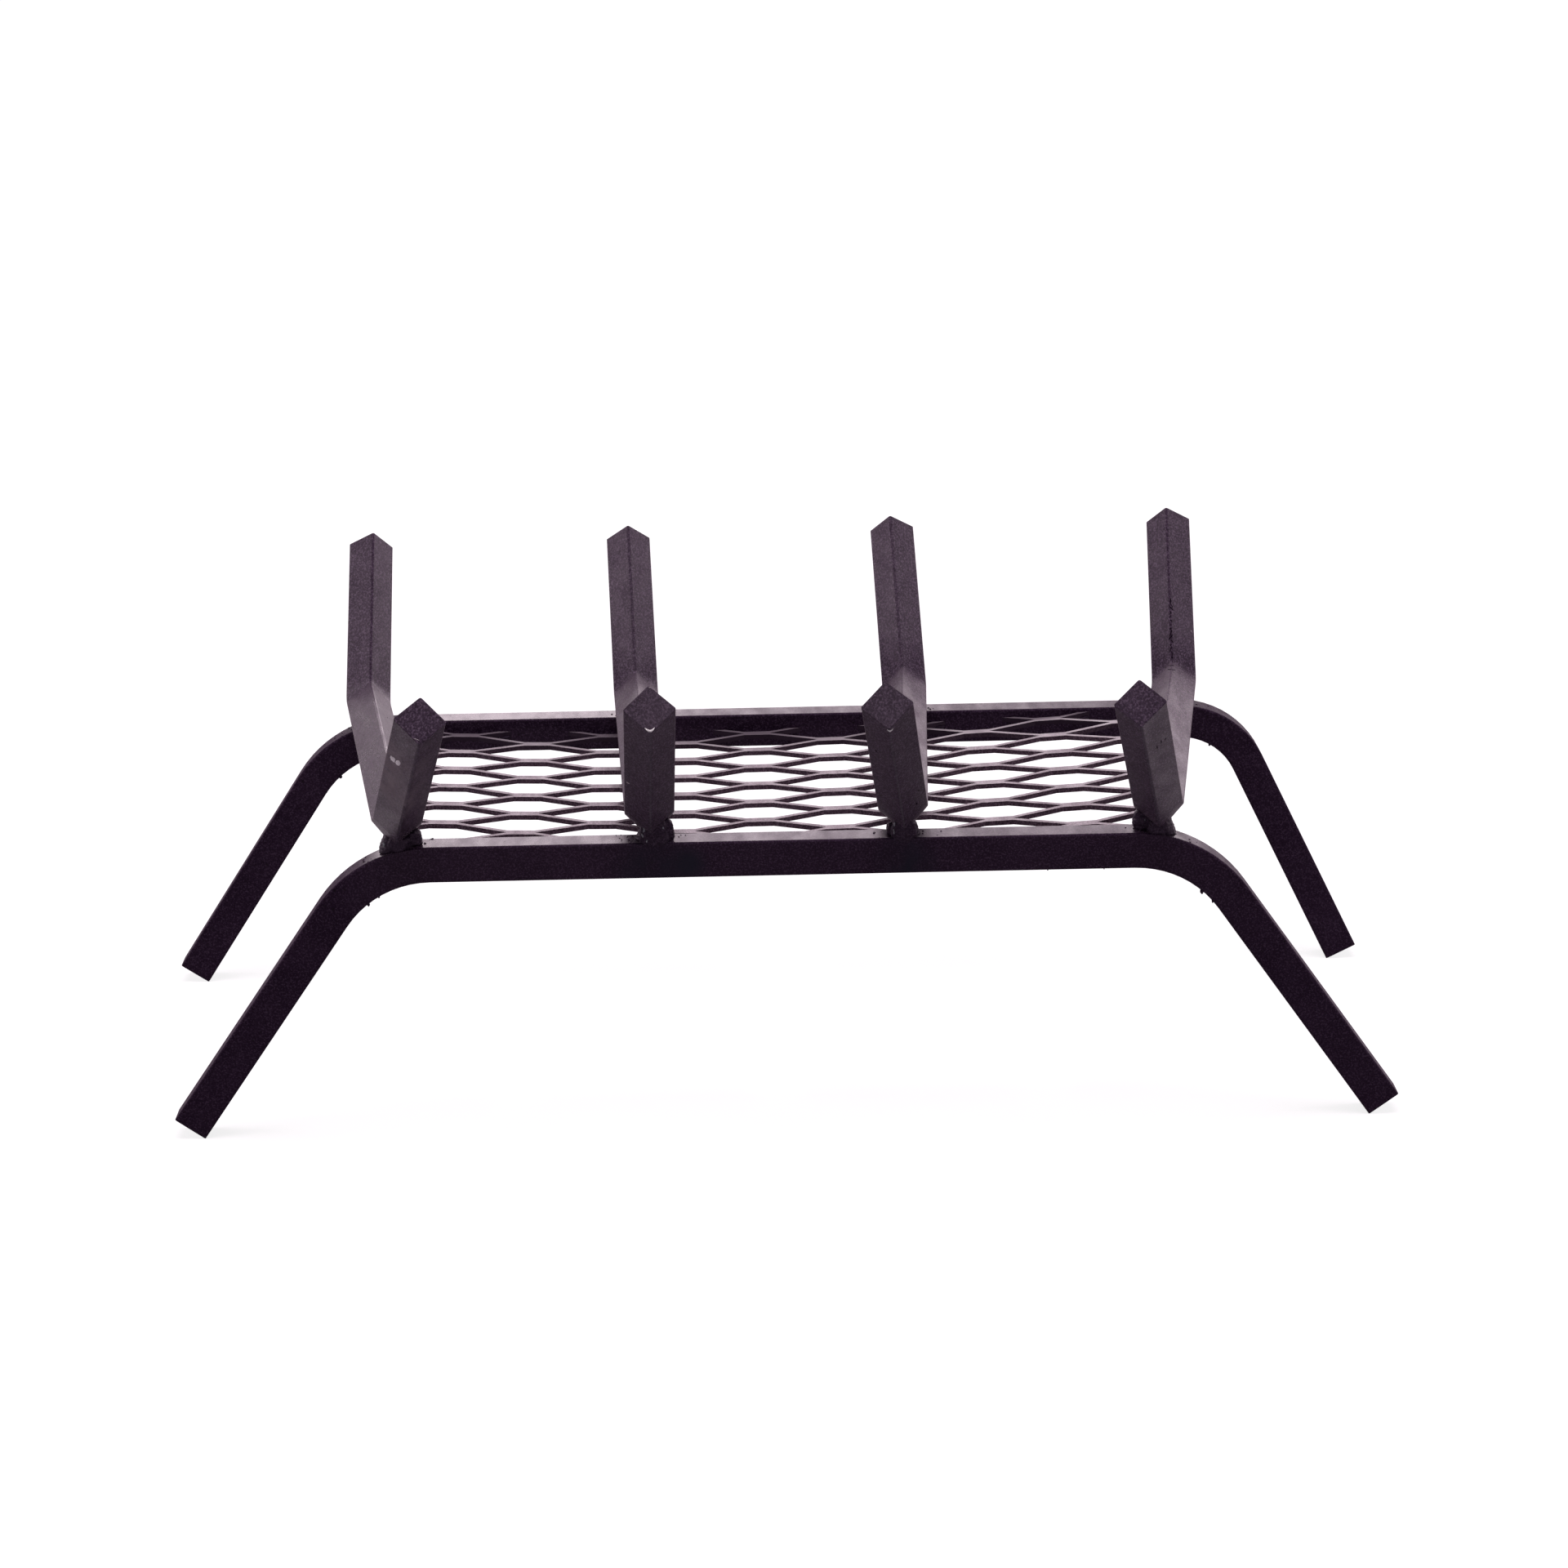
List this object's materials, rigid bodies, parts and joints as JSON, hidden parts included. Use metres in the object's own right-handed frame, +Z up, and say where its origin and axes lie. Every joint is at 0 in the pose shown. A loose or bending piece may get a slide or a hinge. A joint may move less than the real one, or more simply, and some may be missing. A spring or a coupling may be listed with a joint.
{
  "type": "log grate",
  "caption": "Welded steel log grate: square grate bars laid edge-up with upturned ends, across two spread leg frames with expanded metal between the rails to hold embers.",
  "frame": {"origin": "on the hearth, under the middle of the overall length and width", "axes": "+X along the rails, +Y from the narrow leg frame to the wide leg frame, +Z up"},
  "size_m": [0.4676, 0.3193, 0.1724],
  "materials": {
    "frame_paint": "satin",
    "bar_paint": "satin",
    "mesh_paint": "satin",
    "weld_paint": "satin"
  },
  "bodies": {
    "root": {"narrow_leg_frame": "frame_paint", "wide_leg_frame": "frame_paint", "grate_bar_1": "bar_paint", "grate_bar_2": "bar_paint", "grate_bar_3": "bar_paint", "grate_bar_4": "bar_paint", "ember_retainer": "mesh_paint", "narrow_mesh_tacks": "weld_paint", "wide_mesh_tacks": "weld_paint", "narrow_weld_1": "weld_paint", "narrow_weld_2": "weld_paint", "narrow_weld_3": "weld_paint", "narrow_weld_4": "weld_paint", "wide_weld_1": "weld_paint", "wide_weld_2": "weld_paint", "wide_weld_3": "weld_paint", "wide_weld_4": "weld_paint"}
  },
  "joints": []
}
